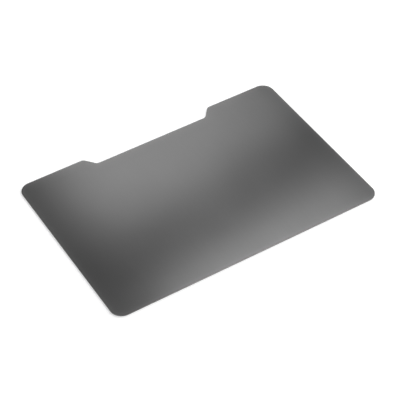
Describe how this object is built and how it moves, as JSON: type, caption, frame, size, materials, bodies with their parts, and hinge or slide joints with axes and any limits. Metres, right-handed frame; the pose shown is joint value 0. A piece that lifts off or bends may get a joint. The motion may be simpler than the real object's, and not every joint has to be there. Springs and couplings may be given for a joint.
{
  "type": "laptop privacy filter",
  "caption": "Thin flat sheet of dark louvre film with rounded corners and a shallow camera notch in its upper edge, laid over a laptop screen to narrow its viewing angle.",
  "frame": {"origin": "middle of the lower face, which lies on the screen, at the centre of the sheet's outline box", "axes": "+X along the long edges, +Y towards the notched upper edge, +Z out of the viewing face"},
  "size_m": [0.286, 0.195, 0.0005],
  "materials": {
    "filter_film": "satin dark grey film"
  },
  "bodies": {
    "root": {"filter_sheet": "filter_film"}
  },
  "joints": []
}
